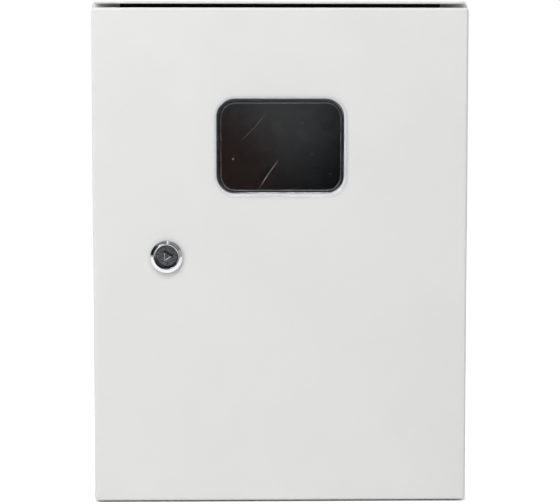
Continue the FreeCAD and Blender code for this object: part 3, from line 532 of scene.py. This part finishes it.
def block(shape, corners, low, high):
    """Add a prism to a shape: corners in across and depth, between two heights."""
    ends = [[shape.verts.new((across, depth, up)) for across, depth in corners] for up in (low, high)]
    count = len(corners)
    faces = [shape.faces.new((ends[0][i], ends[0][(i + 1) % count], ends[1][(i + 1) % count], ends[1][i]))
             for i in range(count)]
    faces += [shape.faces.new(ends[0][::-1]), shape.faces.new(ends[1])]
    bmesh.ops.recalc_face_normals(shape, faces=faces)


def moulded_rings():
    """Section of the moulding, from the middle of its front round to the middle of its back."""
    inner = -window_fit - skirt_wall
    crown = (3.2, 1.35)
    section = [(-8, -pane_front), (window_lap - crown[0] - 0.15, -pane_front)]
    section += [(window_lap - crown[0] * (1 - math.sin(turn)), crown[1] * (1 - math.cos(turn)) - pane_front)
                for turn in [math.radians(10 * step) for step in range(10)]]
    section += arc((window_lap - 0.25, -0.35), 0.25, 0, 90, 3)
    section += arc((-window_fit + 0.3, 0.2), 0.3, -90, -180, 4)
    section += arc((-window_fit - 0.4, 8.6), 0.4, 0, 90, 4)
    section += arc((inner + 0.4, 8.6), 0.4, 90, 180, 4)
    section += arc((inner - 0.5, 0.5), 0.5, 0, -90, 6)
    section += [(inner - 0.65, 0), (-8, 0)]
    return [[(across, depth, up) for across, up in round_oblong(window_half, window_radius, growth)]
            for growth, depth in section]


moulding = as_mesh(loft(moulded_rings()), "window_moulding")
slits = bmesh.new()
lugs = bmesh.new()
for side in (-1, 1):
    skirt_outside = window_half[0] - window_fit
    for middle in (-8, 8):
        for low in (-4.5, 3.5):
            corners = [(side * (skirt_outside - 4), 1), (side * (skirt_outside + 1), 1),
                       (side * (skirt_outside + 1), 10), (side * (skirt_outside - 4), 10)]
            block(slits, corners, middle + low, middle + low + 1)
        wedge = [(side * (skirt_outside - 1), 1.5), (side * (skirt_outside + 2.4), 1.5),
                 (side * skirt_outside, 5.5), (side * (skirt_outside - 1), 5.5)]
        block(lugs, wedge, middle - 3.5, middle + 3.5)
moulding = joined(moulding, slits, "DIFFERENCE")
moulding = joined(moulding, lugs, "UNION")
moulding.transform(Matrix.Translation((window_middle.x, door_face, window_middle.z)))
new_piece("clear_window", moulding, polycarbonate, "door", "clear_plastic", "window_pane")

# Scratches and specks on the pane, scuffed white where the plastic has torn.
scuff = new_material("scuffed_plastic", "#B9B8B4", Roughness=0.7, IOR=1.58)
torn = mottle(scuff, 0.6)
tint(scuff, torn.outputs["Fac"], "#8F8E8A", "#D6D5D1")
light_scuff = new_material("lightly_scuffed_plastic", "#66676F", Roughness=0.6, IOR=1.58)
rubbed = mottle(light_scuff, 1.5)
tint(light_scuff, rubbed.outputs["Fac"], "#4C4D54", "#797A83")


def scratch(shape, start, stop, width, bow=0.0, steps=24):
    """Fine burr along a scratch, thin at both ends, its sides just under the pane's surface."""
    run = Vector(stop) - Vector(start)
    across = Vector((-run.y, run.x)).normalized()
    rows = []
    for step in range(steps + 1):
        part = step / steps
        swell = math.sin(math.pi * min(max(part, 0.02), 0.98)) ** 0.5
        middle = Vector(start) + run * part + across * bow * math.sin(math.pi * part)
        half = across * width / 2 * swell
        rows.append([(*(middle - half), 0.002), (*middle, -0.025), (*(middle + half), 0.002)])
    rings = [[(point[0], -pane_front + point[2], point[1]) for point in row] for row in rows]
    put_in(shape, loft(rings))


def speck(shape, place, size):
    """Tiny burr round a dent."""
    half_run = Vector((size / 2, size / 3))
    scratch(shape, Vector(place) - half_run, Vector(place) + half_run, size, 0, 6)


# The marks are placed from the middle of the door's cut-out.
cut_out_middle = (0, door_face, 0.0858)
deep = bmesh.new()
scratch(deep, (-2.2, -11.3), (-9.0, -21.4), 0.24, 0.1)
scratch(deep, (-8.6, -20.8), (-15.3, -30.8), 0.29, -0.1)
speck(deep, (-37.5, -10.1), 0.9)
scratch_mesh = as_mesh(deep, "pane_scratch", cut_out_middle)
new_piece("pane_scratch", scratch_mesh, scuff, "door", "clear_plastic")
faint = bmesh.new()
scratch(faint, (-8.9, 28.7), (-31.9, 3.4), 0.3, 0.6)
scratch(faint, (-15.3, -30.8), (-18.4, -35.6), 0.4)
for place in ((17.3, 18.4), (39.7, -22.1), (25.3, -6.2)):
    speck(faint, place, 1.1)
scuff_mesh = as_mesh(faint, "pane_scuffs", cut_out_middle)
new_piece("pane_scuffs", scuff_mesh, light_scuff, "door", "clear_plastic")


# Lock. A quarter-turn cam lock: a chromed die-cast housing with a round bezel, a rubber ring under it,
# and a dull cast spindle with a triangular key head; washer, nut and cam are behind the door.
chrome = new_material("bright_chrome", "#DCDDE0", Metallic=1.0, Roughness=0.08)
haze = mottle(chrome, 3)
vary_gloss(chrome, haze.outputs["Fac"], 0.05, 0.12)

cast_zinc = new_material("satin_cast_zinc", "#9A9B9E", Metallic=1.0, Roughness=0.1)
casting = mottle(cast_zinc, 1.4, detail=4.0)
tint(cast_zinc, casting.outputs["Fac"], "#7E7F82", "#B2B3B6")
vary_gloss(cast_zinc, casting.outputs["Fac"], 0.06, 0.14)
relief(cast_zinc, casting.outputs["Fac"], 0.04)

lock_place = Vector((-0.0905, door_face, -0.0019))
disc_face = 7.7
head_face = -1.8
journal_side = 5.0
cam_seat = 21.3
square_half = 3.5
square_end = 23.2

housing_back = (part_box("lock_housing")[1].y - door_face) / MM
bezel_side, bezel_low, bezel_high, recess_side = 13.25, -0.8, -4.2, 9.4
barrel_side, bearing, recess_floor = 11.0, 5.06, 10.0
round_edge = [(across, -depth) for across, depth in arc((bezel_side - 1.8, 1.41), 1.8, 0, 58, 8)]
profile = [(barrel_side, bezel_low), (bezel_side - 0.2, bezel_low), (bezel_side, bezel_low - 0.2)]
profile += round_edge
profile += [(recess_side + 1.25, bezel_high + 0.16), (recess_side + 1.1, bezel_high + 0.07),
            (recess_side + 0.8, bezel_high), (recess_side + 0.35, bezel_high)]
profile += [(recess_side + 0.1, bezel_high + 0.1), (recess_side, bezel_high + 0.35),
            (recess_side, recess_floor), (bearing, recess_floor), (bearing, housing_back),
            (barrel_side - 0.6, housing_back)]
rings = [ring_at(regular(radius, 96), depth) for radius, depth in profile]
rings += thread(barrel_side, housing_back - 0.4, 0.6, 96)[:-1]
housing = as_mesh(loft(rings, tube=True), "lock_housing", lock_place)
new_piece("chrome_housing", housing, chrome, "door", "chrome", "lock_housing")

turned = [(8.2, disc_face), (8.9, disc_face + 0.7), (9.0, disc_face + 1.9),
          (journal_side, disc_face + 1.95), (journal_side, cam_seat)]
spindle = as_mesh(loft([ring_at(regular(radius, 96), depth) for radius, depth in turned]), "disc")
head = loft([ring_at(regular(reach, 3), depth) for reach, depth in
             ((2.6, head_face), (4.1, head_face + 0.45), (4.62, head_face + 0.85), (4.62, disc_face + 0.5))])
spindle = joined(spindle, head, "UNION")
square = bmesh.new()
block(square, [(-square_half, cam_seat - 0.1), (square_half, cam_seat - 0.1),
               (square_half, square_end), (-square_half, square_end)], -square_half, square_half)
spindle = joined(spindle, square, "UNION")
spindle.transform(Matrix.Translation(lock_place))
new_piece("key_spindle", spindle, cast_zinc, "lock", "cast_zinc", "lock_spindle", sharp=16)
dress(black_rubber, "lock_ring")
dress(zinc_plate, "lock_washer", "lock_cam", "cam_washer")


def barrel_nut(low, high, corner):
    """Flat hexagon nut on the barrel of the housing."""
    return nut(low, high, corner, barrel_side + 0.05)


def cam_bolt(low, high, corner):
    """Hexagon screw with its head towards the back."""
    size = corner * 2 * math.cos(math.radians(30)) / 3.3
    seat = high - 1.4 * size
    tip = ring_at(regular(0.7 * size, 72), low)
    return loft(hexagon_rings(corner, seat, high)[::-1] + thread(size, seat, low + 0.3 * size, 72) + [tip])


plated("chamfered_lock_nut", "lock_nut", barrel_nut, "door")
plated("chamfered_cam_screw", "cam_screw", cam_bolt, "lock")


# Floor. A plain white studio table; it glows white for the camera and a little for reflections, and near the
# box that glow is dimmed by ambient occlusion: a painted contact shadow on top of the real one.
floor_reach = 3.0
floor_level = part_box("body_shell")[0].z - 0.05 * MM
bpy.ops.mesh.primitive_plane_add(size=2 * floor_reach, location=(0, 0, floor_level))
floor = bpy.context.object
floor.name = "studio_floor"
floor_white = bpy.data.materials.new("matt_white_table")
floor_white.use_nodes = True
floor_shader = floor_white.node_tree.nodes["Principled BSDF"]
floor_shader.inputs["Base Color"].default_value = linear("#F2F2F2")
floor_shader.inputs["Roughness"].default_value = 0.9
seen = add(floor_white, "LightPath")
# Ambient occlusion dims the floor's glow where the box stands close: painted contact shadow.
open_above = add(floor_white, "AmbientOcclusion", {"Distance": 6 * MM})
ao_contact_shade = add(floor_white, "Math", {0: open_above.outputs["AO"], 1: 1.2}, operation="POWER")
mirrored = add(floor_white, "Math", {0: seen.outputs["Is Glossy Ray"], 1: 0.4}, operation="MULTIPLY")
direct = add(floor_white, "Math", {0: seen.outputs["Is Camera Ray"], 1: 0.7, 2: mirrored.outputs[0]},
             operation="MULTIPLY_ADD")
add(floor_white, "Math", {0: ao_contact_shade.outputs[0], 1: direct.outputs[0]},
    {"Value": floor_shader.inputs["Emission Strength"]}, operation="MULTIPLY")
floor_shader.inputs["Emission Color"].default_value = (1, 1, 1, 1)
floor.data.materials.append(floor_white)


# Light. An even white surround, one large soft lamp high on the left and a small one above, at a level
# where a colour renders about as written.
world = bpy.data.worlds.new("white_studio")
bpy.context.scene.world = world
world.use_nodes = True
surround = world.node_tree.nodes["Background"]
surround.inputs["Color"].default_value = (1, 1, 1, 1)
surround.inputs["Strength"].default_value = 0.46
ray = add(world, "LightPath")
sky_glow = add(world, "MapRange", {"Value": ray.outputs["Is Glossy Ray"], "To Min": 1.0, "To Max": 0.6})
white = add(world, "Background", {"Color": (1, 1, 1, 1), "Strength": sky_glow.outputs["Result"]})
seen_first = add(world, "Math", {0: ray.outputs["Is Camera Ray"], 1: ray.outputs["Is Glossy Ray"]},
                 operation="ADD")
seen_all = add(world, "Math", {0: seen_first.outputs[0], 1: ray.outputs["Is Transmission Ray"]},
               operation="ADD", use_clamp=True)
add(world, "MixShader", {
    0: seen_all.outputs[0],
    1: surround.outputs["Background"],
    2: white.outputs["Background"],
}, {"Shader": world.node_tree.nodes["World Output"].inputs["Surface"]})


def lamp(name, place, aim, size, power, mirrored=True):
    """Square soft lamp that shines from one point towards another."""
    light = bpy.data.lights.new(name, "AREA")
    light.size = size
    light.energy = power
    holder = bpy.data.objects.new(name, light)
    holder.location = place
    holder.rotation_euler = (Vector(aim) - Vector(place)).to_track_quat("-Z", "Y").to_euler()
    holder.visible_glossy = mirrored
    bpy.context.scene.collection.objects.link(holder)


lamp("soft_key", (-0.82, -1.15, 1.15), (-0.15, -0.15, 0.05), 1.0, 12.8)
lamp("top_light", (0.0, -1.0, 1.5), (0, -0.15, 0.2), 0.16, 7, mirrored=False)


def card(name, middle, aim, width, height, colour):
    """Studio card that only reflections see, facing one point and glowing in its own colour."""
    bpy.ops.mesh.primitive_plane_add(size=1)
    board = bpy.context.object
    board.name = name
    board.data.transform(Matrix.Diagonal((width, height, 1, 1)))
    board.location = middle
    board.rotation_euler = (Vector(aim) - Vector(middle)).to_track_quat("Z", "Y").to_euler()
    finish = new_material(name, colour, Roughness=1.0, Emission_Color=linear(colour), Emission_Strength=1.0)
    board.data.materials.append(finish)
    board.visible_camera = False
    board.visible_diffuse = False
    board.visible_shadow = False
    return finish


def pool(material, under, place, reach, colour):
    """Soft round pool of another colour on a card, over what is under it."""
    at = add(material, "TexCoord")
    moved = add(material, "Mapping", {
        "Vector": at.outputs["Object"],
        "Location": (-place[0] / reach, -place[1] / reach, 0),
        "Scale": (1 / reach,) * 3,
    })
    ball = add(material, "TexGradient", {"Vector": moved.outputs["Vector"]}, gradient_type="SPHERICAL")
    soft = add(material, "MapRange", {"Value": ball.outputs["Fac"]}, interpolation_type="SMOOTHERSTEP")
    laid = add(material, "Mix", {"Factor": soft.outputs["Result"], 6: under, 7: linear(colour)},
               data_type="RGBA")
    return laid.outputs[2]


# The room behind the camera is dark, paler in one place; the window and the chrome mirror it.
room_dark = "#1B1A1A"
room = card("dark_room", (0.07, -3.4, 0), (0.07, 0, 0), 3.6, 3.4, room_dark)
pale = pool(room, linear(room_dark), (0.01, 0.1), 0.26, "#949495")
red = pool(room, pale, (0.13, -0.04), 0.22, "#644A40")
room.node_tree.links.new(red, room.node_tree.nodes["Principled BSDF"].inputs["Emission Color"])
card("black_card", (-1.35, -0.85, 0.55), (-0.09, -0.15, 0), 1.3, 1.1, "#060606")
card("mid_card", (-0.7, -0.9, 1.35), (-0.09, -0.15, 0), 1.2, 0.9, "#58585A")
card("grey_card", (1.0, -0.85, 1.15), (-0.09, -0.15, 0), 2.1, 1.5, "#6E6E6E")
card("side_card", (1.5, -0.95, 0.3), (-0.09, -0.15, 0), 0.9, 0.9, "#929290")
card("dark_floor", (0.07, -2.3, -0.19), (0.07, -2.3, 2), 3.6, 2.2, "#707072")
card("small_card", (-0.04, -1.0, 1.5), (-0.09, -0.15, 0), 0.12, 0.3, "#E4E3EA")


# Camera. It stands 1.5 m in front of the door, a little left of the middle and above it, looking
# slightly down; place and turn were worked out from the door's edges in the photograph.
camera_from_door = 1500
camera_across = -31.0
camera_up = 123.1
look_down = 4.628
look_right = 1.174
focal_pixels = 1890.6
picture_width = 560
film_width = 36.0
eye = bpy.data.cameras.new("camera")
eye.sensor_width = film_width
eye.lens = focal_pixels * film_width / picture_width
camera = bpy.data.objects.new("camera", eye)
camera.location = (camera_across * MM, door_face - camera_from_door * MM, camera_up * MM)
camera.rotation_euler = (math.radians(90 - look_down), 0, math.radians(-look_right))
bpy.context.scene.collection.objects.link(camera)
bpy.context.scene.camera = camera
bpy.context.scene.view_settings.view_transform = "Standard"
